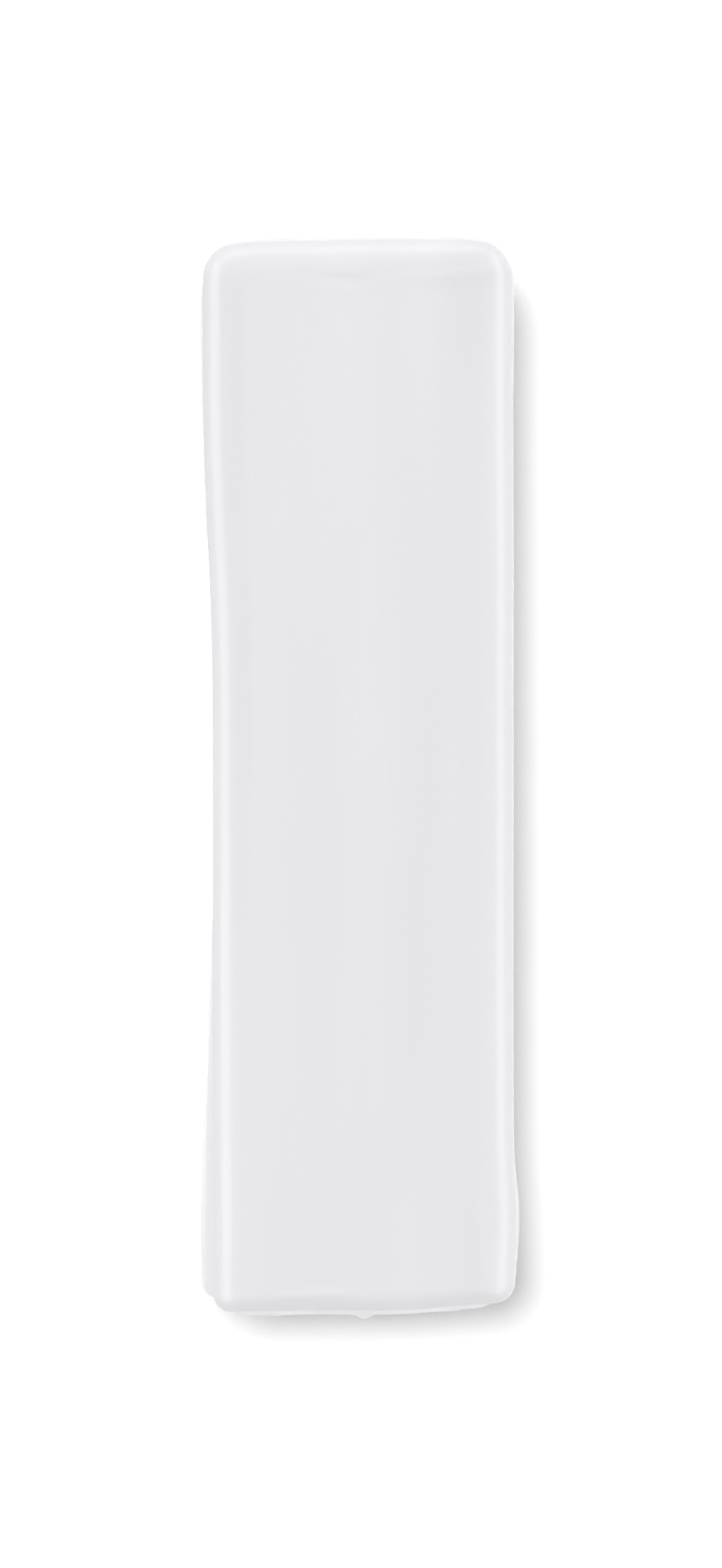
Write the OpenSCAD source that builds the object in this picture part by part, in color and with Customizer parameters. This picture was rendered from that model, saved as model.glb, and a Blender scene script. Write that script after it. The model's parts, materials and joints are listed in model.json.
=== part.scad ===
// Gymnastics chalk block: one pressed bar of chalk, wrapped in a single sheet of thin white film.
// X is the width, Y the length and Z up; the origin is the middle of the underside.
// The sheet goes round the bar and is folded in at both ends like a parcel. Each fold line is a
// hinge, so the panels between the fold lines are separate solids.

/* [Chalk bar] */
// Width of the pressed bar
bar_w = 32.4; // [26:0.1:60]
// Length of the pressed bar
bar_l = 115.5; // [90:0.5:220]
// Height of the pressed bar
bar_h = 30.4; // [26:0.1:60]
// Width of the broken edges on the bar's two ends
bar_chamfer = 0.8; // [0.2:0.1:2]

/* [Film] */
// Thickness of a film layer
film_t = 0.25; // [0.1:0.05:0.4]
// Outer radius of the film where it turns round the bar's long edges
fold_r = 3.4; // [2:0.1:5]
// Clearance between neighbouring layers
layer_gap = 0.06; // [0.04:0.01:0.12]
// Thickness of an adhesive patch
glue_t = 0.14; // [0.08:0.01:0.2]
// Air between the bar and the film at the back end
back_slack = 1.6; // [0:0.1:3]

/* [Seam on the left side] */
// Height of the outer flap, from its fold
lap_h = 24; // [18:0.5:24]
// Depth of the inner edge, from the top
inner_lap_h = 11; // [8:0.5:12]
// Length of the glued stretch in the middle of the seam
seam_seal_l = 36; // [10:1:60]
// Height of the glued stretch
seam_seal_h = 4; // [2:0.5:5]

/* [End folds] */
// Length of the flap that comes down from the top
top_flap_l = 18; // [16:0.5:20]
// Length of the flap that comes up from the bottom
bottom_flap_l = 17; // [15:0.5:18]
// Depth of the side tucks
tuck_d = 10.5; // [6:0.5:11]
// Width of a flap at its free edge
flap_tip_w = 11; // [6:0.5:18]
// Width of the glued spot between the two flaps
end_seal_w = 10; // [4:0.5:10]
// Height of the glued spot
end_seal_h = 2.8; // [1:0.2:3]

/* [Hidden] */
$fn = 64;

film_white = [0.91, 0.91, 0.92];
chalk_white = [0.96, 0.95, 0.93];
glue_clear = [0.88, 0.87, 0.82];

// Layers, counted outwards from the bar
one_layer = layer_gap + film_t;
glue_gap = glue_t + layer_gap;
right_stack = one_layer;
left_stack = 2 * film_t + layer_gap + glue_gap;
top_z = bar_h + 2 * one_layer;

// The bar sits off the middle by half the difference of the stacks on either side of it
bar_x = (left_stack - right_stack) / 2;
bar_y = -back_slack / 2;
right_x = bar_x + bar_w / 2 + right_stack;
inner_left_x = bar_x - bar_w / 2 - one_layer;
left_x = bar_x - bar_w / 2 - left_stack;
body_w = right_x - left_x;

// Long fold lines
lid_fold_x = right_x - fold_r;
lap_fold_z = fold_r;
flap_base_w = right_x - inner_left_x - 2 * fold_r;

// Planes at an end, as distances from the bar's end face
tuck_plane = layer_gap;
bottom_plane = tuck_plane + film_t + layer_gap;
top_plane = bottom_plane + film_t + glue_gap;
front_face = bar_y - bar_l / 2;
back_face = bar_y + bar_l / 2 + back_slack;

// Rounded rectangle from exact circles, lying in X and Z
module rounded_frame(x0, x1, z0, z1, r) {
    translate([x0 + r, z0]) square([x1 - x0 - 2 * r, z1 - z0]);
    translate([x0, z0 + r]) square([x1 - x0, z1 - z0 - 2 * r]);
    for (x = [x0 + r, x1 - r], z = [z0 + r, z1 - r]) translate([x, z]) circle(r);
}

// A wall of film that follows a rounded rectangle
module film_ring(x0, x1) {
    difference() {
        rounded_frame(x0, x1, 0, top_z, fold_r);
        rounded_frame(x0 + film_t, x1 - film_t, film_t, top_z - film_t, fold_r - film_t);
    }
}

// Stands a drawing of X and Z up, from y0 to y1
module stand(y0, y1) {
    translate([0, y1, 0]) rotate([90, 0, 0]) linear_extrude(y1 - y0) children();
}

// Puts a layer of thickness t at a distance from the bar's end face, at the front (-1) or back (1)
module end_layer(side, plane, t = film_t) {
    inner = side < 0 ? front_face - plane : back_face + plane;
    stand(min(inner, inner + side * t), max(inner, inner + side * t)) children();
}

module chalk_bar() {
    chamfer = bar_chamfer;
    y0 = bar_y - bar_l / 2;
    color(chalk_white) union() {
        stand(y0 + chamfer, y0 + bar_l - chamfer) bar_section(0);
        stand(y0, y0 + bar_l) bar_section(chamfer);
    }
}

// Cross-section of the bar, drawn in by an amount at its ends
module bar_section(inset) {
    rounded_frame(bar_x - bar_w / 2 + inset, bar_x + bar_w / 2 - inset,
                  one_layer + inset, one_layer + bar_h - inset, fold_r - one_layer);
}

// Bottom and right panels with the three folds that never open
module wrap_base() {
    color(film_white) union() {
        stand(front_face, back_face) intersection() {
            film_ring(left_x, right_x);
            union() {
                translate([left_x, 0]) square([body_w, lap_fold_z]);
                translate([lid_fold_x, 0]) square([fold_r, top_z]);
            }
        }
        for (side = [-1, 1]) base_tongue(side);
    }
}

// The bottom panel runs on under the end layers, up to the bottom flap
module base_tongue(side) {
    end_layer(side, 0, bottom_plane - layer_gap)
        translate([bar_x - flap_base_w / 2, 0]) square([flap_base_w, film_t]);
}

// Top panel, the top left fold and the inner edge of the seam
module wrap_top() {
    color(film_white) union() {
        stand(front_face, back_face) intersection() {
            film_ring(inner_left_x, right_x);
            translate([inner_left_x, top_z - inner_lap_h])
                square([lid_fold_x - layer_gap - inner_left_x, inner_lap_h]);
        }
        for (side = [-1, 1]) top_tongue(side);
    }
}

// The top panel runs on over the end layers, up to the top flap
module top_tongue(side) {
    end_layer(side, 0, top_plane - layer_gap)
        translate([bar_x - flap_base_w / 2, top_z - film_t]) square([flap_base_w - layer_gap, film_t]);
}

// Outer flap of the seam, which rises from the bottom left fold
module lap_flap() {
    color(film_white) stand(front_face, back_face)
        translate([left_x, lap_fold_z + layer_gap]) square([film_t, lap_h - layer_gap]);
}

// Glued stretch between the two layers of the seam
module seam_seal() {
    z0 = top_z - fold_r - seam_seal_h - 2;
    color(glue_clear) stand(bar_y - seam_seal_l / 2, bar_y + seam_seal_l / 2)
        translate([left_x + film_t, z0]) square([glue_t, seam_seal_h]);
}

// Side tuck: the film drawn in from a side, with edges at 45 degrees
module side_tuck(side, x_edge, inward) {
    z0 = lap_fold_z + layer_gap;
    z1 = lap_fold_z + lap_h;
    color(film_white) end_layer(side, tuck_plane) polygon([
        [x_edge, z0], [x_edge, z1], [x_edge + inward * tuck_d, z1 - tuck_d], [x_edge + inward * tuck_d, z0 + tuck_d]]);
}

// Flap across an end, from a fold at z_fold; up is 1 for a flap that rises and -1 for one that comes down.
// It widens round the corners first, then narrows to its free edge.
module flap_outline(z_fold, up, length) {
    half_base = flap_base_w / 2;
    half_full = half_base + fold_r;
    half_tip = flap_tip_w / 2;
    translate([bar_x, z_fold]) polygon([
        [-half_base, 0], [half_base, 0], [half_full, up * fold_r], [half_tip, up * length],
        [-half_tip, up * length], [-half_full, up * fold_r]]);
}

module bottom_flap(side) {
    color(film_white) end_layer(side, bottom_plane) flap_outline(0, 1, bottom_flap_l);
}

module top_flap(side) {
    color(film_white) end_layer(side, top_plane) flap_outline(top_z, -1, top_flap_l);
}

// Glued spot on the inside of the top flap
module end_seal(side) {
    overlap_mid = (top_z - top_flap_l + bottom_flap_l) / 2;
    color(glue_clear) end_layer(side, top_plane - glue_t, glue_t)
        translate([bar_x - end_seal_w / 2, overlap_mid - end_seal_h / 2]) square([end_seal_w, end_seal_h]);
}

module front_right_tuck() { side_tuck(-1, right_x, -1); }
module front_left_tuck() { side_tuck(-1, left_x, 1); }
module front_bottom_flap() { bottom_flap(-1); }
module front_top_flap() { top_flap(-1); }
module front_end_seal() { end_seal(-1); }
module back_right_tuck() { side_tuck(1, right_x, -1); }
module back_left_tuck() { side_tuck(1, left_x, 1); }
module back_bottom_flap() { bottom_flap(1); }
module back_top_flap() { top_flap(1); }
module back_end_seal() { end_seal(1); }

chalk_bar();
wrap_base();
wrap_top();
lap_flap();
seam_seal();
front_right_tuck();
front_left_tuck();
front_bottom_flap();
front_top_flap();
front_end_seal();
back_right_tuck();
back_left_tuck();
back_bottom_flap();
back_top_flap();
back_end_seal();
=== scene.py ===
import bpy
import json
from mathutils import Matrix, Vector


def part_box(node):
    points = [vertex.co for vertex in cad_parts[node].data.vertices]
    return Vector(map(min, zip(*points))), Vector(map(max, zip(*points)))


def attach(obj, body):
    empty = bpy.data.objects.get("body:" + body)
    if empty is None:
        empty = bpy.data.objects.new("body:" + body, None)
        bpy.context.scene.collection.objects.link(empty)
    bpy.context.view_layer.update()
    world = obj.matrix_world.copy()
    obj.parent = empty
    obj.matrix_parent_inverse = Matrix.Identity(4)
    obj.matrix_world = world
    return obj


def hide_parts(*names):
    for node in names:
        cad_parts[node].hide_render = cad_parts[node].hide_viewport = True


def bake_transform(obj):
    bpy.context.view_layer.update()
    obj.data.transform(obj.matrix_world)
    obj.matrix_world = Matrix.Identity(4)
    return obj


bl_info = {
    "name": "Wrapped Chalk Block",
    "version": (1, 0, 0),
    "blender": (4, 5, 0),
    "location": "View3D > Sidebar > Chalk Block",
    "description": "Builds a gymnastics chalk bar in its folded film wrapper",
    "category": "Add Mesh",
}

import json
import math

import bmesh
import bpy
from mathutils import Vector, noise

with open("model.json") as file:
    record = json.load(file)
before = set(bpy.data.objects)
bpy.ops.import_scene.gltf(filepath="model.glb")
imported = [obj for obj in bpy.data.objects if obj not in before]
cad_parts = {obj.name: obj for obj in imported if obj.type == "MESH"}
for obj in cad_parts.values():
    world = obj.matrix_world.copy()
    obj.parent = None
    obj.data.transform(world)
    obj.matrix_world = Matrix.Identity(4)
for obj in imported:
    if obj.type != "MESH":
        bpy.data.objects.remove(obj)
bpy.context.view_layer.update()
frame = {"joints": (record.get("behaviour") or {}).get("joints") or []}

MM = 0.001
BAR_LO, BAR_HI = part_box("chalk_bar")
BASE_LO, BASE_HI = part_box("wrap_base")
TOP_LO, TOP_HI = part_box("wrap_top")
LAP_LO, LAP_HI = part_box("lap_flap")
JOINTS = {joint["name"]: joint for joint in frame["joints"]}

# Faces of the wrapped bar, in the frame's own axes
LEFT, RIGHT, INNER_LEFT = LAP_LO.x, BASE_HI.x, TOP_LO.x
TOP = BASE_HI.z
FOLD_R = LAP_LO.z
MIDDLE = Vector(((LEFT + RIGHT) / 2, 0, TOP / 2))
SIDES = {"front": -1, "back": 1}

# The bottom panel ends just inside the seam flap, where it turns up a little
UNDER_LEFT = LEFT + 0.11 * MM
UPTURN = 0.3 * MM

# Planes of the side tucks, inside the film that covers them, and the film they have there
TUCK_RIGHT = RIGHT - 0.16 * MM
TUCK_LEFT = LEFT + 0.22 * MM
TUCK_HIDDEN = 4 * MM

# The seam flap starts below its fold, ends short of both corners and is drawn in along its top edge
SEAM_BELOW = 0.4 * MM
SEAM_DRAWN = 0.46 * MM
SEAM_SHORT_FRONT = 1.2 * MM
SEAM_SHORT_BACK = 2.3 * MM

# Width of an end flap at its free edge
FLAP_TIP = 11 * MM

# How far the film lies from the planes that it is folded on
RIGHT_DROP = 0.2 * MM
RIGHT_FULLNESS = 0.35 * MM
RIGHT_SWELL = 0.6 * MM
LEFT_SWELL = 1.1 * MM
OVERHANG = 0.85 * MM
FRONT_RIGHT_PULLED_IN = 0.75 * MM
LEFT_CORNERS = 0.25 * MM
BACK_RISE = 0.5 * MM
UNEVENNESS = 0.05 * MM


def end_plane(end, node):
    """Outer face of an end layer, as a value of Y."""
    lo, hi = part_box(f"{end}_{node}")
    return lo.y if end == "front" else hi.y


END_PLANE = {end: end_plane(end, "bottom_flap") for end in SIDES}


# ---------------------------------------------------------------- settings


class ChalkBlockSettings(bpy.types.PropertyGroup):
    film_thickness: bpy.props.FloatProperty(
        name="Film thickness", description="Thickness of one layer of film",
        default=0.09 * MM, min=0.03 * MM, max=0.2 * MM, unit="LENGTH")
    front_bend: bpy.props.FloatProperty(
        name="Front bend", description="Radius of the film over the front edges",
        default=1.7 * MM, min=0.8 * MM, max=3 * MM, unit="LENGTH")
    back_bend: bpy.props.FloatProperty(
        name="Back bend", description="Radius of the film over the back edges",
        default=3.0 * MM, min=0.8 * MM, max=3.1 * MM, unit="LENGTH")
    bend_lip: bpy.props.FloatProperty(
        name="Bend lip", description="Flat film between an end bend and the flaps",
        default=0.25 * MM, min=0.1 * MM, max=0.3 * MM, unit="LENGTH")
    top_right_radius: bpy.props.FloatProperty(
        name="Top right radius", description="Radius of the film over the top right edge",
        default=4.4 * MM, min=3.4 * MM, max=7 * MM, unit="LENGTH")
    top_left_radius: bpy.props.FloatProperty(
        name="Top left radius", description="Radius of the film over the top left edge",
        default=4.7 * MM, min=3.4 * MM, max=7 * MM, unit="LENGTH")
    crown: bpy.props.FloatProperty(
        name="Crown", description="Rise of the film over the middle of the top",
        default=0.3 * MM, min=0, max=1 * MM, unit="LENGTH")
    seam_slack: bpy.props.FloatProperty(
        name="Seam slack", description="How far the seam flap stands off at its two ends",
        default=1.7 * MM, min=0, max=3 * MM, unit="LENGTH")
    back_puff: bpy.props.FloatProperty(
        name="Back puff", description="Air held under the back flaps",
        default=1.5 * MM, min=0, max=3 * MM, unit="LENGTH")
    front_puff: bpy.props.FloatProperty(
        name="Front puff", description="Air held under the front flaps",
        default=0.6 * MM, min=0, max=3 * MM, unit="LENGTH")
    film_colour: bpy.props.FloatVectorProperty(
        name="Film colour", description="Colour of the film", subtype="COLOR",
        default=(0.74, 0.74, 0.755), min=0, max=1)
    chalk_colour: bpy.props.FloatVectorProperty(
        name="Chalk colour", description="Colour of the pressed chalk", subtype="COLOR",
        default=(0.80, 0.785, 0.755), min=0, max=1)
    glue_colour: bpy.props.FloatVectorProperty(
        name="Glue colour", description="Colour of the dried adhesive", subtype="COLOR",
        default=(0.62, 0.58, 0.47), min=0, max=1)


def settings():
    return bpy.context.scene.chalk_block


# ---------------------------------------------------------------- shading


def ramp(edge0, edge1, value):
    """Smooth step from 0 at edge0 to 1 at edge1."""
    t = min(max((value - edge0) / (edge1 - edge0), 0.0), 1.0)
    return t * t * (3 - 2 * t)


def new_group(name, inputs, outputs):
    """An empty shader node group with its sockets, and its two end nodes."""
    group = bpy.data.node_groups.new(name, "ShaderNodeTree")
    for socket, kind, default in inputs:
        made = group.interface.new_socket(socket, in_out="INPUT", socket_type=kind)
        if default is not None:
            made.default_value = default
    for socket, kind in outputs:
        group.interface.new_socket(socket, in_out="OUTPUT", socket_type=kind)
    return group, group.nodes.new("NodeGroupInput"), group.nodes.new("NodeGroupOutput")


def add_math(group, operation, a, b):
    """A math node fed by sockets or numbers, returning its output."""
    node = group.nodes.new("ShaderNodeMath")
    node.operation = operation
    for socket, value in zip(node.inputs, (a, b)):
        if isinstance(value, (int, float)):
            socket.default_value = value
        else:
            group.links.new(value, socket)
    return node.outputs[0]


def add_noise(group, vector, scale, detail, roughness=0.5, stretch=None):
    """Noise over a vector, which a Mapping node may stretch first."""
    if stretch:
        mapping = group.nodes.new("ShaderNodeMapping")
        mapping.inputs["Scale"].default_value = stretch
        group.links.new(vector, mapping.inputs["Vector"])
        vector = mapping.outputs["Vector"]
    node = group.nodes.new("ShaderNodeTexNoise")
    node.inputs["Scale"].default_value = scale
    node.inputs["Detail"].default_value = detail
    node.inputs["Roughness"].default_value = roughness
    group.links.new(vector, node.inputs["Vector"])
    return node.outputs["Fac"]


def soft_creases_group():
    """Height of film drawn tight over a bar: long pulls, broad dimples and a fine haze."""
    group, entry, out = new_group(
        "Soft Creases",
        [("Vector", "NodeSocketVector", None), ("Pulls", "NodeSocketFloat", 1.0),
         ("Dimples", "NodeSocketFloat", 1.0), ("Haze", "NodeSocketFloat", 1.0)],
        [("Height", "NodeSocketFloat"), ("Mask", "NodeSocketFloat")])
    vector = entry.outputs["Vector"]
    pulls = add_noise(group, vector, 260, 2, 0.45, stretch=(1.0, 0.07, 1.0))
    dimples = add_noise(group, vector, 95, 2, 0.4)
    haze = add_noise(group, vector, 2400, 3, 0.6)
    height = add_math(group, "ADD", add_math(group, "MULTIPLY", pulls, entry.outputs["Pulls"]),
                      add_math(group, "MULTIPLY", dimples, entry.outputs["Dimples"]))
    height = add_math(group, "ADD", height, add_math(group, "MULTIPLY", haze, entry.outputs["Haze"]))
    group.links.new(height, out.inputs["Height"])
    streaks = add_noise(group, vector, 110, 3, 0.45, stretch=(1.0, 0.12, 1.0))
    group.links.new(streaks, out.inputs["Mask"])
    return group


def powder_group():
    """Height and tint of pressed powder: grain, pores and pale bloom."""
    group, entry, out = new_group(
        "Pressed Powder",
        [("Vector", "NodeSocketVector", None), ("Grain", "NodeSocketFloat", 1.0),
         ("Pores", "NodeSocketFloat", 1.0)],
        [("Height", "NodeSocketFloat"), ("Tint", "NodeSocketFloat")])
    vector = entry.outputs["Vector"]
    grain = add_noise(group, vector, 5200, 4, 0.7)
    clumps = add_noise(group, vector, 700, 4, 0.6)
    pores = group.nodes.new("ShaderNodeTexVoronoi")
    pores.inputs["Scale"].default_value = 900
    group.links.new(vector, pores.inputs["Vector"])
    pit = add_math(group, "SUBTRACT", 1.0, add_math(group, "MULTIPLY", pores.outputs["Distance"], 1.6))
    pit = add_math(group, "MAXIMUM", add_math(group, "SUBTRACT", pit, 0.62), 0.0)
    pit = add_math(group, "MULTIPLY", pit, entry.outputs["Pores"])
    height = add_math(group, "ADD", add_math(group, "MULTIPLY", grain, entry.outputs["Grain"]), clumps)
    group.links.new(add_math(group, "SUBTRACT", height, pit), out.inputs["Height"])
    group.links.new(clumps, out.inputs["Tint"])
    return group


def shared_group(name, maker):
    """The node group of that name, made once."""
    return bpy.data.node_groups.get(name) or maker()


def new_material(name):
    """A material with its Principled shader and Object coordinates."""
    material = bpy.data.materials.new(name)
    material.use_nodes = True
    tree = material.node_tree
    shader = next(n for n in tree.nodes if n.type == "BSDF_PRINCIPLED")
    where = tree.nodes.new("ShaderNodeTexCoord").outputs["Object"]
    return material, tree, shader, where


def place_group(tree, group, where, **values):
    """A shared group in a material, with its own values."""
    node = tree.nodes.new("ShaderNodeGroup")
    node.node_tree = group
    tree.links.new(where, node.inputs["Vector"])
    for name, value in values.items():
        node.inputs[name].default_value = value
    return node


def tint_between(tree, mask, low, high, start=0.2, stop=0.8):
    """A colour that a mask moves from low to high."""
    node = tree.nodes.new("ShaderNodeValToRGB")
    node.color_ramp.elements[0].position = start
    node.color_ramp.elements[0].color = (*low, 1)
    node.color_ramp.elements[1].position = stop
    node.color_ramp.elements[1].color = (*high, 1)
    tree.links.new(mask, node.inputs["Fac"])
    return node.outputs["Color"]


def add_bump(tree, shader, height, strength, distance):
    """Feeds a height to the shader's normal."""
    bump = tree.nodes.new("ShaderNodeBump")
    bump.inputs["Strength"].default_value = strength
    bump.inputs["Distance"].default_value = distance
    tree.links.new(height, bump.inputs["Height"])
    tree.links.new(bump.outputs["Normal"], shader.inputs["Normal"])


def ranged(tree, mask, low, high):
    """A value that a mask moves from low to high."""
    node = tree.nodes.new("ShaderNodeMapRange")
    node.inputs["From Min"].default_value = 0.2
    node.inputs["From Max"].default_value = 0.8
    node.inputs["To Min"].default_value = low
    node.inputs["To Max"].default_value = high
    tree.links.new(mask, node.inputs["Value"])
    return node.outputs["Result"]


def film_material():
    """Glossy white film: a smooth coat over a milky body."""
    if "White Film" in bpy.data.materials:
        return bpy.data.materials["White Film"]
    material, tree, shader, where = new_material("White Film")
    creases = place_group(tree, shared_group("Soft Creases", soft_creases_group), where,
                          Pulls=1.0, Dimples=0.35, Haze=0.004)
    colour = Vector(settings().film_colour)
    tree.links.new(tint_between(tree, creases.outputs["Mask"], colour * 0.965, colour * 1.03),
                   shader.inputs["Base Color"])
    shader.inputs["Roughness"].default_value = 0.3
    shader.inputs["IOR"].default_value = 1.5
    shader.inputs["Coat Weight"].default_value = 0.4
    shader.inputs["Coat Roughness"].default_value = 0.1
    add_bump(tree, shader, creases.outputs["Height"], 0.5, 0.12 * MM)
    return material


def chalk_material():
    """Pressed magnesium carbonate: matt, grainy and slightly warm."""
    material, tree, shader, where = new_material("Pressed Chalk")
    powder = place_group(tree, shared_group("Pressed Powder", powder_group), where, Grain=0.5, Pores=1.4)
    colour = Vector(settings().chalk_colour)
    tree.links.new(tint_between(tree, powder.outputs["Tint"], colour * 0.93, colour * 1.05),
                   shader.inputs["Base Color"])
    tree.links.new(ranged(tree, powder.outputs["Tint"], 0.98, 0.86), shader.inputs["Roughness"])
    shader.inputs["Specular IOR Level"].default_value = 0.2
    add_bump(tree, shader, powder.outputs["Height"], 0.8, 0.25 * MM)
    return material


def glue_material():
    """Dried hot-melt adhesive: waxy, slightly yellow and uneven."""
    if "Dried Adhesive" in bpy.data.materials:
        return bpy.data.materials["Dried Adhesive"]
    material, tree, shader, where = new_material("Dried Adhesive")
    blobs = place_group(tree, shared_group("Soft Creases", soft_creases_group), where,
                        Pulls=0.4, Dimples=1.5, Haze=0.3)
    colour = Vector(settings().glue_colour)
    tree.links.new(tint_between(tree, blobs.outputs["Mask"], colour * 0.85, colour * 1.1),
                   shader.inputs["Base Color"])
    tree.links.new(ranged(tree, blobs.outputs["Mask"], 0.3, 0.5), shader.inputs["Roughness"])
    shader.inputs["Transmission Weight"].default_value = 0.25
    add_bump(tree, shader, blobs.outputs["Height"], 0.6, 0.1 * MM)
    return material


# ---------------------------------------------------------------- film shapes


def evenly(start, stop, count):
    """Values from start to stop, both included, with that many steps between."""
    return [start + (stop - start) * k / count for k in range(count + 1)]


class Route:
    """Straight runs and quarter turns in X and Z, followed by distance; turn is 1 to the left."""

    def __init__(self, start, heading, turn, moves):
        self.turn, self.steps, self.stops = turn, [], [0.0]
        x, z = start
        travelled = 0.0
        for kind, size, count in moves:
            length = size if kind == "run" else size * math.pi / 2
            self.steps.append((travelled, length, kind, size, x, z, heading))
            self.stops += evenly(travelled, travelled + length, count)[1:]
            x, z, heading = self._along(kind, size, x, z, heading, length)
            travelled += length
        self.length = travelled

    def _along(self, kind, size, x, z, heading, distance):
        if kind == "run":
            return x + distance * math.cos(heading), z + distance * math.sin(heading), heading
        swing = self.turn * distance / size
        side = heading + self.turn * math.pi / 2
        cx, cz = x + size * math.cos(side), z + size * math.sin(side)
        return cx - size * math.cos(side + swing), cz - size * math.sin(side + swing), heading + swing

    def at(self, distance):
        """Point on the route and the direction away from the bar there."""
        step = max((s for s in self.steps if s[0] <= distance + 1e-9), key=lambda s: s[0])
        x, z, heading = self._along(*step[2:], distance - step[0])
        away = heading - self.turn * math.pi / 2
        return Vector((x, 0, z)), Vector((math.cos(away), 0, math.sin(away)))


def beyond(end, start, y):
    """0 up to a distance from the middle, then smoothly to 1 at that end."""
    sign = SIDES[end]
    return ramp(start, sign * END_PLANE[end], sign * y)


def long_face_shift(point, across, up):
    """How far the top and the long sides lie from their planes."""
    shift = Vector((0, 0, 0))
    # a broad crown over the top, which falls off towards the right
    shift.z += settings().crown * ramp(TOP - FOLD_R, TOP, point.z) * max(0.0, 1 - across ** 4)
    shift.z -= RIGHT_DROP * ramp(0.5, 1.0, across) * ramp(0.8, 1.0, up)
    # the right side is fuller at mid-height, most where the front fold is tucked in
    mid_height = max(0.0, 1 - up ** 4)
    at_fold = math.exp(-(((point.y + 50 * MM) / (6 * MM)) ** 2))
    shift.x += RIGHT_FULLNESS * ramp(0.6, 1.0, across) * mid_height
    shift.x += RIGHT_SWELL * at_fold * ramp(0.7, 1.0, across) * mid_height
    # the left side swells towards the back, and its top edge hangs a little over the seam
    shift.x -= LEFT_SWELL * ramp(8 * MM, 46 * MM, point.y) * ramp(-0.5, -0.95, across) * ramp(-0.9, 0.3, up)
    hang = OVERHANG - 0.15 * MM * ramp(-20 * MM, -50 * MM, point.y)
    over_seam = ramp(LAP_HI.z - 0.3 * MM, LAP_HI.z + 0.9 * MM, point.z)
    shift.x -= hang * over_seam * ramp(-0.5, -0.9, across)
    return shift


def end_shift(point, across, up):
    """How far the ends lie from their planes: puffed with air, and not quite square to the bar."""
    s = settings()
    at_back = beyond("back", END_PLANE["back"] - 5 * MM, point.y)
    at_front = beyond("front", -END_PLANE["front"] - 4 * MM, point.y)
    wide = max(0.0, 1 - across ** 8)
    above, below = max(up, 0.0), max(-up, 0.0)
    shift = Vector((0, 0, 0))
    shift.y += s.back_puff * wide * max(0.0, 1 - above ** 14 - below) * at_back
    shift.y -= s.front_puff * wide * max(0.0, 1 - above ** 6 - below ** 1.5) * at_front
    shift.y += FRONT_RIGHT_PULLED_IN * ramp(0.1, 1.0, across) * beyond("front", 30 * MM, point.y)
    shift.y -= LEFT_CORNERS * ramp(0.2, -1.0, across) * beyond("back", 30 * MM, point.y)
    shift.y -= LEFT_CORNERS * ramp(-0.4, -1.0, across) * beyond("front", 40 * MM, point.y)
    shift.z += BACK_RISE * ramp(-0.3, 0.9, across) * ramp(0.4, 1.0, up) * at_back
    return shift


def pull_shift(point, across, up):
    """The ridges and grooves on the face where a point is."""
    shift = Vector((0, 0, 0))
    if up > 0.85:
        shift.z += pulls(point.xy, TOP_PULLS)
    if across > 0.85:
        shift.x += pulls(point.yz, RIGHT_PULLS)
    if across < -0.9:
        shift.x -= pulls(point.yz, LEFT_PULLS)
    for end, sign in SIDES.items():
        if sign * (point.y - END_PLANE[end]) > -0.6 * MM:
            shift.y += sign * pulls(point.xz, END_PULLS)
    return shift


def film_life(point):
    """Where film folded to lie at a point really lies: crowned, puffed at its ends, a little uneven."""
    across = (point.x - MIDDLE.x) / (RIGHT - MIDDLE.x)
    up = (point.z - MIDDLE.z) / (TOP / 2)
    moved = point.copy()
    for shift in (long_face_shift, end_shift, pull_shift):
        moved += shift(point, across, up)
    return moved + noise.noise_vector(point * 42.0) * UNEVENNESS


# Pulls in the film: start, stop, width and height in millimetres. On the top they are placed in X and Y,
# on the long sides in Y and Z, on the ends in X and Z.
TOP_PULLS = (
    ((-7.0, 56.6), (1.0, 55.5), 0.5, -0.16),
    ((-3.0, 56.0), (15.5, 57.6), 0.45, -0.12),
    ((-9.5, -57.8), (-1.5, -57.4), 0.5, 0.12),
    ((3.0, 9.0), (2.6, -29.0), 0.8, 0.03),
    ((1.2, 53.0), (2.8, 12.0), 2.4, 0.04),
    ((-14.0, 55.0), (-12.0, 30.0), 0.9, 0.04),
    ((14.0, 54.0), (12.0, 30.0), 0.9, 0.05),
    ((13.5, -57.0), (11.5, -42.0), 0.9, 0.05),
)
RIGHT_PULLS = (
    ((-58.0, 26.0), (-44.0, 17.0), 0.8, 0.14),
    ((-58.0, 4.0), (-46.0, 11.0), 0.8, 0.12),
    ((-57.0, 21.0), (-50.0, 15.0), 0.5, -0.10),
    ((57.5, 25.0), (43.0, 19.0), 0.8, 0.12),
    ((57.5, 5.0), (46.0, 10.0), 0.8, 0.12),
    ((30.0, 22.0), (-20.0, 20.5), 1.4, 0.05),
    ((-6.0, 8.0), (38.0, 9.5), 1.6, 0.05),
)
LEFT_PULLS = (
    ((-56.0, 22.0), (-38.0, 14.0), 0.9, 0.14),
    ((-55.0, 5.5), (-40.0, 10.0), 0.8, 0.12),
    ((56.0, 22.0), (34.0, 15.0), 0.9, 0.14),
    ((55.0, 6.0), (38.0, 9.0), 0.8, 0.12),
    ((24.0, 26.0), (40.0, 18.0), 0.7, 0.12),
    ((-14.0, 26.0), (-30.0, 17.0), 0.7, 0.12),
)
END_PULLS = (
    ((-12.0, 28.0), (-4.0, 18.0), 0.6, 0.10),
    ((12.0, 28.0), (5.0, 19.0), 0.6, 0.10),
    ((-9.0, 3.0), (-4.0, 12.0), 0.6, 0.10),
    ((10.0, 3.0), (4.0, 11.0), 0.6, 0.10),
    ((-6.0, 27.0), (6.5, 26.0), 0.7, 0.06),
)


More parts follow.
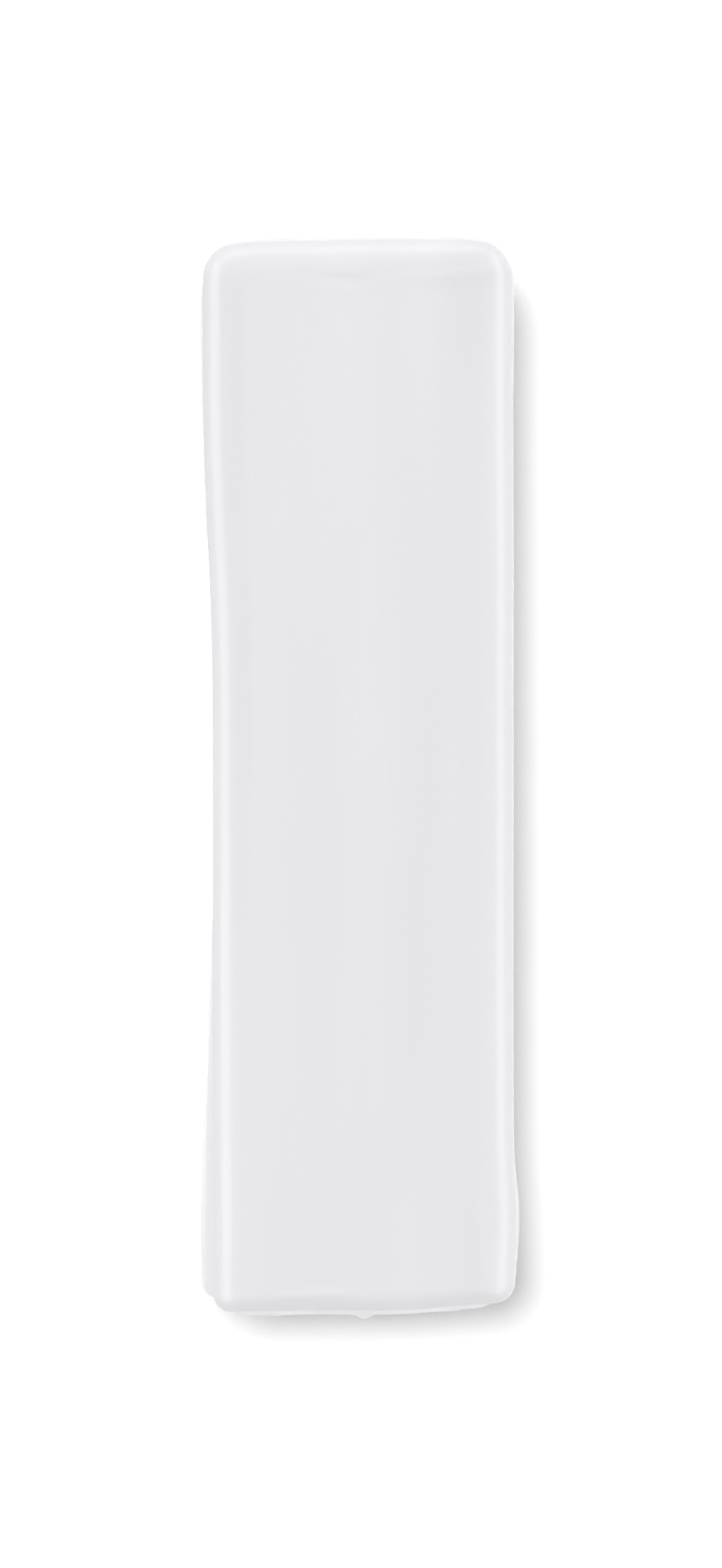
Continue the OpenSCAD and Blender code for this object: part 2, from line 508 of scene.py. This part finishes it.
def pulls(place, known):
    """Height at a place on a face of the ridges there, which fade out towards their ends."""
    height = 0.0
    for start, stop, width, rise in known:
        a, b = Vector(start) * MM, Vector(stop) * MM
        run, here = b - a, place - a
        along = here.dot(run) / run.length_squared
        if -0.2 < along < 1.2:
            aside = (here.x * run.y - here.y * run.x) / run.length
            fade = ramp(-0.2, 0.25, along) * ramp(1.2, 0.75, along)
            height += rise * MM * fade * math.exp(-((aside / (width * MM)) ** 2))
    return height


def lay_sheet(name, columns, rows, place):
    """A flat grid of film folded into place, with its thickness inwards and its faces outwards."""
    bm = bmesh.new()
    bmesh.ops.create_grid(bm, x_segments=len(columns) - 1, y_segments=len(rows) - 1, size=1)
    for vert in bm.verts:
        column = round((vert.co.x + 1) / 2 * (len(columns) - 1))
        row = round((vert.co.y + 1) / 2 * (len(rows) - 1))
        vert.co = place(columns[column], rows[row])
    outward = sum(face.normal.dot(face.calc_center_median() - MIDDLE) * face.calc_area()
                  for face in refreshed(bm).faces)
    if outward < 0:
        bmesh.ops.reverse_faces(bm, faces=bm.faces[:])
    bmesh.ops.solidify(bm, geom=bm.faces[:], thickness=settings().film_thickness)
    return finish_mesh(bm, name, 50)


def refreshed(bm):
    """The same bmesh with its normals up to date."""
    bm.normal_update()
    return bm


def finish_mesh(bm, name, sharp_angle):
    """A mesh object from a bmesh, smooth but for edges sharper than the angle."""
    refreshed(bm)
    mesh = bpy.data.meshes.new(name)
    bm.to_mesh(mesh)
    bm.free()
    mesh.shade_smooth()
    mesh.set_sharp_from_angle(angle=math.radians(sharp_angle))
    made = bpy.data.objects.new(name, mesh)
    bpy.context.collection.objects.link(made)
    return made


def end_bend(end):
    """Radius of the film over the edges of an end."""
    return settings().front_bend if end == "front" else settings().back_bend


def mouth_inset(end):
    """How far in from the wrapped bar's faces the end flaps start."""
    return end_bend(end) + settings().bend_lip


def rolled_in(distance, radius):
    """Share of its stand-off that film keeps near an edge where it is rolled in."""
    return math.sqrt(max(0.0, 1 - max(0.0, 1 - distance / radius) ** 2))


def round_the_end(excess, radius):
    """(distance towards the end, distance inwards) of film that runs on past the start of an end bend."""
    if excess <= 0:
        return excess, 0.0
    turned = excess / radius
    if turned < math.pi / 2:
        return radius * math.sin(turned), radius * (1 - math.cos(turned))
    return radius, radius + (excess - radius * math.pi / 2)


def lengthwise_stops(inner_count):
    """Distances along Y for a sheet that bends over both ends."""
    stops = []
    for end, sign in SIDES.items():
        radius, start = end_bend(end), sign * END_PLANE[end] - end_bend(end)
        lip = start + radius * math.pi / 2 + settings().bend_lip
        bend = evenly(start, start + radius * math.pi / 2, 12) + [lip]
        stops.append([sign * stop for stop in bend])
    front, back = stops
    middle, half = (front[0] + back[0]) / 2, (back[0] - front[0]) / 2
    # a little closer together towards the ends
    inner = [middle + half * (1.25 * t - 0.25 * t ** 3) for t in evenly(-1, 1, inner_count)]
    return front[::-1] + inner[1:-1] + back


def wrapper_place(route):
    """Folds a distance along the route and a distance along Y into a point of the wrapper."""

    def place(along, across):
        end = "front" if across < 0 else "back"
        sign = SIDES[end]
        start = sign * END_PLANE[end] - end_bend(end)
        out, inwards = round_the_end(sign * across - start, end_bend(end))
        point, away = route.at(along)
        point = point - away * inwards
        point.y = sign * (start + out)
        return film_life(point)

    return place


def dress_film(piece):
    """Gives a piece of film its finish."""
    piece.data.materials.append(film_material())


# ---------------------------------------------------------------- pieces


class CHALK_OT_bar(bpy.types.Operator):
    """Pressed chalk bar with worn, chipped edges"""

    bl_idname = "chalk.bar"
    bl_label = "Chalk Bar"

    def execute(self, context):
        size = BAR_HI - BAR_LO
        middle = (BAR_HI + BAR_LO) / 2
        bm = bmesh.new()
        bmesh.ops.create_cube(bm, size=1)
        bmesh.ops.scale(bm, vec=size, verts=bm.verts[:])
        bmesh.ops.translate(bm, vec=middle, verts=bm.verts[:])
        s = settings()
        for x, z, radius in ((BAR_LO.x, BAR_LO.z, FOLD_R), (BAR_HI.x, BAR_LO.z, FOLD_R),
                             (BAR_LO.x, BAR_HI.z, s.top_left_radius + 0.5 * MM),
                             (BAR_HI.x, BAR_HI.z, s.top_right_radius + 0.7 * MM)):
            edge = min(bm.edges, key=lambda e: sum(math.hypot(v.co.x - x, v.co.z - z) for v in e.verts))
            bmesh.ops.bevel(bm, geom=[edge], offset=radius - 0.35 * MM, affect="EDGES", segments=8,
                            profile=0.5, material=-1)
        end_edges = [e for e in bm.edges if abs(e.verts[0].co.y - e.verts[1].co.y) < 1e-6]
        bmesh.ops.bevel(bm, geom=end_edges, offset=1.5 * MM, affect="EDGES", segments=3,
                        profile=0.5, material=-1)
        self.cut_across(bm, (0, 1, 0), BAR_LO.y, BAR_HI.y, 88)
        self.cut_across(bm, (1, 0, 0), BAR_LO.x + 3 * MM, BAR_HI.x - 3 * MM, 18)
        self.cut_across(bm, (0, 0, 1), BAR_LO.z + 3 * MM, BAR_HI.z - 3 * MM, 16)
        refreshed(bm)
        moves = [(v, -v.normal * self.wear(v.co, middle, size)) for v in bm.verts]
        for vert, move in moves:
            vert.co += move
        bar = finish_mesh(bm, "chalk_bar_pressed", 60)
        bar.data.materials.append(chalk_material())
        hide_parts("chalk_bar")
        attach(bar, "root")
        return {"FINISHED"}

    @staticmethod
    def cut_across(bm, normal, low, high, count):
        """Even cuts through the whole mesh between two heights along an axis."""
        for height in evenly(low, high, count)[1:-1]:
            bmesh.ops.bisect_plane(bm, geom=bm.verts[:] + bm.edges[:] + bm.faces[:],
                                   plane_co=Vector(normal) * height, plane_no=normal, dist=1e-7)

    @staticmethod
    def wear(point, middle, size):
        """Depth lost at a point: a little everywhere, more in chips along the edges."""
        reach = [abs(point[k] - middle[k]) / (size[k] / 2) for k in range(3)]
        closeness = sorted((1 - reach[k]) * size[k] / 2 for k in range(3))[1]
        edge = 1 - ramp(0.6 * MM, 4 * MM, closeness)
        chip = max(0.0, noise.noise(point * 330.0 + Vector((3, 1, 2))) - 0.12)
        crumb = abs(noise.noise(point * 1100.0)) * 0.08 * MM
        return 0.02 * MM + crumb + edge * chip * 1.5 * MM


class CHALK_OT_wrapper(bpy.types.Operator):
    """Film round the bottom, right side and top, down to the seam's inner edge"""

    bl_idname = "chalk.wrapper"
    bl_label = "Wrapper"

    def execute(self, context):
        s = settings()
        bottom = RIGHT - UNDER_LEFT - 2 * FOLD_R
        side = TOP - FOLD_R - s.top_right_radius
        over = RIGHT - INNER_LEFT - s.top_right_radius - s.top_left_radius
        inner = TOP - TOP_LO.z - s.top_left_radius
        route = Route((UNDER_LEFT, FOLD_R + UPTURN), -math.pi / 2, 1, [
            ("run", UPTURN, 1), ("turn", FOLD_R, 12), ("run", bottom, 26), ("turn", FOLD_R, 12),
            ("run", side, 24), ("turn", s.top_right_radius, 22), ("run", over, 56),
            ("turn", s.top_left_radius, 18), ("run", inner, 8)])
        # the sheet is one, made as two pieces that meet at the fold line
        axis = Vector(JOINTS["lid_fold"]["pos_m"])
        fold = min(route.stops, key=lambda distance: (route.at(distance)[0] - axis).length)
        # narrow strips on both sides of the fold line keep the shading even across it
        strip = 0.03 * MM
        fixed = [d for d in route.stops if d < fold] + [fold - strip, fold]
        moving = [fold, fold + strip] + [d for d in route.stops if d > fold]
        base = self.panel("film_base", "wrap_base", route, fixed)
        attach(base, "root")
        top = self.panel("film_top", "wrap_top", route, moving)
        start = route.at(fold)[0]
        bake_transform(top)
        return {"FINISHED"}

    @staticmethod
    def panel(name, node, route, columns):
        """The part of the sheet between the first and the last distance, along the whole length."""
        rows = lengthwise_stops(210)
        sheet = lay_sheet(name, columns, rows, wrapper_place(route))
        dress_film(sheet)
        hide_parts(node)
        return sheet


def side_slack(y, rise):
    """How far film stands off the left side, at a place along it and a share of the seam flap's height."""
    rise = min(max(rise, 0.0), 1.0)
    belly = max(0.0, math.sin(math.pi * rise)) ** 0.45 * ramp(0.0, 0.3, rise)
    towards_front = 0.9 * ramp(-10 * MM, END_PLANE["front"] + 3 * MM, y) ** 0.8
    towards_back = ramp(16 * MM, 52 * MM, y)
    return settings().seam_slack * belly * max(towards_front, 0.2 * towards_back)


class CHALK_OT_seam(bpy.types.Operator):
    """Outer flap of the seam, glued in the middle and loose at both ends"""

    bl_idname = "chalk.seam"
    bl_label = "Seam Flap"

    def execute(self, context):
        height = LAP_HI.z - FOLD_R
        route = Route((LEFT, FOLD_R - SEAM_BELOW), math.pi / 2, -1, [("run", height + SEAM_BELOW, 34)])
        front = END_PLANE["front"] + SEAM_SHORT_FRONT
        back = END_PLANE["back"] - SEAM_SHORT_BACK
        closer = front + 1.2 * MM
        rows = evenly(front, closer, 12) + evenly(closer, back, 118)[1:]

        def place(along, across):
            point, away = route.at(along)
            point.y = across
            rise = max(0.0, (along - SEAM_BELOW) / (route.length - SEAM_BELOW))
            at_back = rolled_in(back - across, 2.5 * MM)
            off = side_slack(across, rise) * rolled_in(across - front, 1.1 * MM) * at_back
            drawn_in = 0.2 * MM * (1 - at_back) + SEAM_DRAWN * ramp(0.85, 1.0, rise)
            return film_life(point + away * (off - drawn_in))

        flap = lay_sheet("film_seam_flap", route.stops, rows, place)
        dress_film(flap)
        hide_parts("lap_flap")
        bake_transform(flap)
        return {"FINISHED"}


def edge_inset(depth, corner, inset, slope):
    """How far in from a side face a flap's edge is, at a depth past the mouth.

    It follows the mouth's rounded corner first, then slants."""
    inner = corner - inset
    if depth <= 0:
        return corner
    arc = corner - math.sqrt(inner ** 2 - (inner - depth) ** 2) if depth < inner else inset
    return max(arc, inset + depth * slope)


def across_flap(share, depth, low, high, corners, inset, slope):
    """Place across a flap, from its low edge at share 0 to its high edge at share 1."""
    start = low + edge_inset(depth, corners[0], inset, slope)
    stop = high - edge_inset(depth, corners[1], inset, slope)
    return start + (stop - start) * share


def curl(end, node, share, along):
    """How far a flap stands off towards its free edge; the front top flap has a small point there."""
    if node != "top_flap":
        return 0.0
    lift = ramp(0.4, 1.0, along) ** 1.3
    if end == "back":
        return lift * 0.2 * MM
    peak = math.exp(-(((share - 0.5) / 0.08) ** 2))
    return lift * (0.7 + 0.7 * peak) * MM


class CHALK_OT_end_flaps(bpy.types.Operator):
    """Top and bottom flaps across both ends"""

    bl_idname = "chalk.end_flaps"
    bl_label = "End Flaps"

    def execute(self, context):
        s = settings()
        for end in SIDES:
            top_corners = (s.top_left_radius, s.top_right_radius)
            self.flap(end, "top_flap", "lid", TOP, -1, INNER_LEFT, top_corners)
            self.flap(end, "bottom_flap", "root", 0.0, 1, UNDER_LEFT, (FOLD_R, FOLD_R))
        return {"FINISHED"}

    @staticmethod
    def flap(end, node, parent, origin, up, left, corners):
        """A tapering flap from the mouth of an end, up from the bottom or down from the top."""
        lo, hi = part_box(f"{end}_{node}")
        inset, plane = mouth_inset(end), end_plane(end, node)
        length, width = hi.z - lo.z - inset, RIGHT - left - 2 * inset
        slope = (width - FLAP_TIP) / 2 / length

        def place(share, depth):
            settle = ramp(0.0, 4 * MM, depth)
            x = across_flap(share, depth, left, RIGHT, corners, inset, slope)
            y = END_PLANE[end] + (plane - END_PLANE[end]) * settle
            point = film_life(Vector((x, y, origin + up * (inset + depth))))
            point.y += SIDES[end] * curl(end, node, share, depth / length)
            return point

        columns = evenly(0.0, 1.0, 56)
        rows = [length * (k / 40) ** 1.4 for k in range(41)]
        flap = lay_sheet(f"film_{end}_{node}", columns, rows, place)
        dress_film(flap)
        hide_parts(f"{end}_{node}")
        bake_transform(flap)


def loose_tuck(end, y, z):
    """How far a left tuck stands off the side: with the seam flap at the back, hardly at the front."""
    share_of_slack = 0.85 if end == "back" else 0.1
    return share_of_slack * side_slack(y, (z - FOLD_R) / (LAP_HI.z - FOLD_R))


class CHALK_OT_tucks(bpy.types.Operator):
    """Side tucks at both ends, which turn the corner under the wrapper or the seam flap"""

    bl_idname = "chalk.tucks"
    bl_label = "Side Tucks"

    def execute(self, context):
        s = settings()
        for end in SIDES:
            bend = end_bend(end)
            self.tuck(end, "right_tuck", "root", TUCK_RIGHT, -1, (FOLD_R, s.top_right_radius), bend)
            # on the seam's side a tuck clears the edge of the bottom panel
            corners = (FOLD_R + UPTURN + 0.05 * MM, s.top_left_radius)
            self.tuck(end, "left_tuck", "lap", TUCK_LEFT, 1, corners, min(bend, 2.6 * MM))
        return {"FINISHED"}

    @staticmethod
    def tuck(end, node, parent, side_x, inward, corners, radius):
        """A tuck whose film starts on the side at side_x and goes inwards once it is round the corner."""
        sign, inset = SIDES[end], mouth_inset(end)
        plane = end_plane(end, node)
        lo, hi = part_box(f"{end}_{node}")
        bend_end = TUCK_HIDDEN + radius * math.pi / 2
        mouth = bend_end + inset - radius
        depth_end = hi.x - lo.x - inset
        rows = evenly(0, TUCK_HIDDEN, 4) + evenly(TUCK_HIDDEN, bend_end, 10)[1:] + [mouth]
        rows += [mouth + depth_end * (k / 24) ** 1.4 for k in range(1, 25)]

        def place(share, distance):
            out, inwards = round_the_end(distance - TUCK_HIDDEN, radius)
            z = across_flap(share, distance - mouth, 0.0, TOP, corners, inset, 1.0)
            point = Vector((side_x + inward * inwards, plane + sign * (out - radius), z))
            if parent == "lap":
                # loose with the seam flap, but drawn against the wrapper along its top edge
                off = loose_tuck(end, plane, z) * ramp(1.0, 0.75, share)
                drawn = 0.5 * MM * ramp(0.86, 1.0, share)
                point.x -= (off - drawn) * ramp(radius, 0.0, inwards)
                past_corner = ramp(0.0, radius, inwards) * ramp(radius + 2 * MM, radius, inwards)
                point.y -= sign * drawn * past_corner
            return film_life(point)

        tuck = lay_sheet(f"film_{end}_{node}", evenly(0.0, 1.0, 40), rows, place)
        dress_film(tuck)
        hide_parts(f"{end}_{node}")
        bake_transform(tuck)


class CHALK_OT_adhesive(bpy.types.Operator):
    """Adhesive in the seam and between the end flaps"""

    bl_idname = "chalk.adhesive"
    bl_label = "Adhesive"

    def execute(self, context):
        for name, node, body in (("seam_glue", "seam_seal", "lap"),
                                 ("front_glue", "front_end_seal", "front_top_flap"),
                                 ("back_glue", "back_end_seal", "back_top_flap")):
            self.patch(name, node, body)
        return {"FINISHED"}

    @staticmethod
    def patch(name, node, body):
        """A flat blob with a wavy outline in the place of its CAD solid."""
        lo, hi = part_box(node)
        size, middle = hi - lo, (hi + lo) / 2
        bm = bmesh.new()
        bmesh.ops.create_cube(bm, size=1)
        bmesh.ops.scale(bm, vec=size, verts=bm.verts[:])
        bmesh.ops.translate(bm, vec=middle, verts=bm.verts[:])
        thin = min(range(3), key=lambda k: size[k])
        corners = [e for e in bm.edges if abs(e.verts[0].co[thin] - e.verts[1].co[thin]) > size[thin] / 2]
        bmesh.ops.bevel(bm, geom=corners, offset=min(size[k] for k in range(3) if k != thin) * 0.45,
                        affect="EDGES", segments=6, profile=0.5, material=-1)
        for axis in range(3):
            if axis == thin:
                continue
            normal = Vector([float(k == axis) for k in range(3)])
            for height in evenly(lo[axis], hi[axis], max(6, int(size[axis] / (0.8 * MM))))[1:-1]:
                bmesh.ops.bisect_plane(bm, geom=bm.verts[:] + bm.edges[:] + bm.faces[:],
                                       plane_co=normal * height, plane_no=normal, dist=1e-7)
        for vert in bm.verts:
            shift = noise.noise_vector(vert.co * 420.0) * 0.25 * MM
            shift[thin] = 0.0
            vert.co += shift
        blob = finish_mesh(bm, name, 50)
        blob.data.materials.append(glue_material())
        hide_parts(node)
        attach(blob, body)


# Name, place, width, height, energy, whether it lights and whether it shows in reflections
SOFTBOXES = (
    ("right_box", (0.50, 0.03, 0.08), 0.9, 0.17, 0.65, True, True),
    ("left_box", (-0.50, 0.03, 0.12), 0.9, 0.30, 1.2, False, True),
    ("left_fill", (-0.50, 0.03, 0.12), 0.9, 0.30, 0.3, True, False),
    ("back_box", (-0.08, 0.55, 0.16), 0.7, 0.22, 0.4, False, True),
)


class CHALK_OT_stage(bpy.types.Operator):
    """White floor, soft studio light and the camera straight above"""

    bl_idname = "chalk.stage"
    bl_label = "Stage"

    def execute(self, context):
        self.floor()
        self.world(context.scene)
        self.sun()
        for softbox in SOFTBOXES:
            self.box(*softbox)
        self.camera(context.scene)
        context.scene.view_settings.view_transform = "Standard"
        return {"FINISHED"}

    @staticmethod
    def floor():
        bm = bmesh.new()
        bmesh.ops.create_grid(bm, x_segments=1, y_segments=1, size=20.0)
        floor = finish_mesh(bm, "stage_floor", 30)
        material, tree, shader, where = new_material("Pale Floor")
        shader.inputs["Base Color"].default_value = (0.93, 0.93, 0.93, 1)
        shader.inputs["Roughness"].default_value = 1.0
        shader.inputs["Specular IOR Level"].default_value = 0.0
        shader.inputs["Emission Color"].default_value = (1, 1, 1, 1)
        shader.inputs["Emission Strength"].default_value = 0.05
        floor.data.materials.append(material)

    @staticmethod
    def world(scene):
        """White near the horizon, brighter still behind the block, and dim overhead."""
        world = bpy.data.worlds.new("Studio")
        world.use_nodes = True
        tree = world.node_tree
        background = tree.nodes["Background"]
        background.inputs["Color"].default_value = (0.985, 0.99, 1.0, 1)
        parts = tree.nodes.new("ShaderNodeSeparateXYZ")
        tree.links.new(tree.nodes.new("ShaderNodeTexCoord").outputs["Generated"], parts.inputs[0])
        low = add_math(tree, "SUBTRACT", 1.0, add_math(tree, "MAXIMUM", parts.outputs["Z"], 0.0))
        behind = add_math(tree, "ADD", add_math(tree, "MULTIPLY", parts.outputs["Y"], 0.25), 0.8)
        glow = add_math(tree, "MULTIPLY", add_math(tree, "POWER", low, 2.0), behind)
        tree.links.new(add_math(tree, "ADD", glow, 0.15), background.inputs["Strength"])
        scene.world = world

    @staticmethod
    def sun():
        """The key light, which stays out of reflections."""
        lamp = bpy.data.lights.new("key", "SUN")
        lamp.energy = math.pi * 0.82
        lamp.angle = math.radians(15.5)
        made = bpy.data.objects.new("key", lamp)
        bpy.context.collection.objects.link(made)
        made.visible_glossy = False
        to_right, to_front = math.tan(math.radians(5.0)), math.tan(math.radians(6.8))
        made.rotation_euler = Vector((to_right, -to_front, -1)).to_track_quat("-Z", "Y").to_euler()

    @staticmethod
    def box(name, place, width, height, energy, lights, reflects):
        """A softbox that faces the middle of the block, for its light, its reflection or both."""
        lamp = bpy.data.lights.new(name, "AREA")
        lamp.shape = "RECTANGLE"
        lamp.size, lamp.size_y = width, height
        lamp.energy = energy
        made = bpy.data.objects.new(name, lamp)
        bpy.context.collection.objects.link(made)
        made.visible_diffuse, made.visible_glossy = lights, reflects
        made.location = place
        made.rotation_euler = (MIDDLE - Vector(place)).to_track_quat("-Z", "Y").to_euler()

    @staticmethod
    def camera(scene):
        cam = bpy.data.cameras.new("camera")
        cam.sensor_width = 36
        above = 0.80
        shown_height = 0.1751
        cam.lens = cam.sensor_width * above / shown_height
        made = bpy.data.objects.new("camera", cam)
        bpy.context.collection.objects.link(made)
        made.location = (-0.00012, -0.0005, TOP + above)
        scene.camera = made


# ---------------------------------------------------------------- panel and registration

PIECES = (CHALK_OT_bar, CHALK_OT_wrapper, CHALK_OT_seam, CHALK_OT_end_flaps, CHALK_OT_tucks,
          CHALK_OT_adhesive, CHALK_OT_stage)


class CHALK_PT_panel(bpy.types.Panel):
    bl_idname = "CHALK_PT_panel"
    bl_label = "Chalk Block"
    bl_space_type = "VIEW_3D"
    bl_region_type = "UI"
    bl_category = "Chalk Block"

    def draw(self, context):
        for name in ChalkBlockSettings.__annotations__:
            self.layout.prop(context.scene.chalk_block, name)
        for piece in PIECES:
            self.layout.operator(piece.bl_idname)


def register():
    for cls in (ChalkBlockSettings, *PIECES, CHALK_PT_panel):
        bpy.utils.register_class(cls)
    bpy.types.Scene.chalk_block = bpy.props.PointerProperty(type=ChalkBlockSettings)


def unregister():
    del bpy.types.Scene.chalk_block
    for cls in (CHALK_PT_panel, *reversed(PIECES), ChalkBlockSettings):
        bpy.utils.unregister_class(cls)


def main():
    register()
    bpy.ops.chalk.bar()
    bpy.ops.chalk.wrapper()
    bpy.ops.chalk.seam()
    bpy.ops.chalk.end_flaps()
    bpy.ops.chalk.tucks()
    bpy.ops.chalk.adhesive()
    bpy.ops.chalk.stage()


if __name__ == "__main__":
    main()
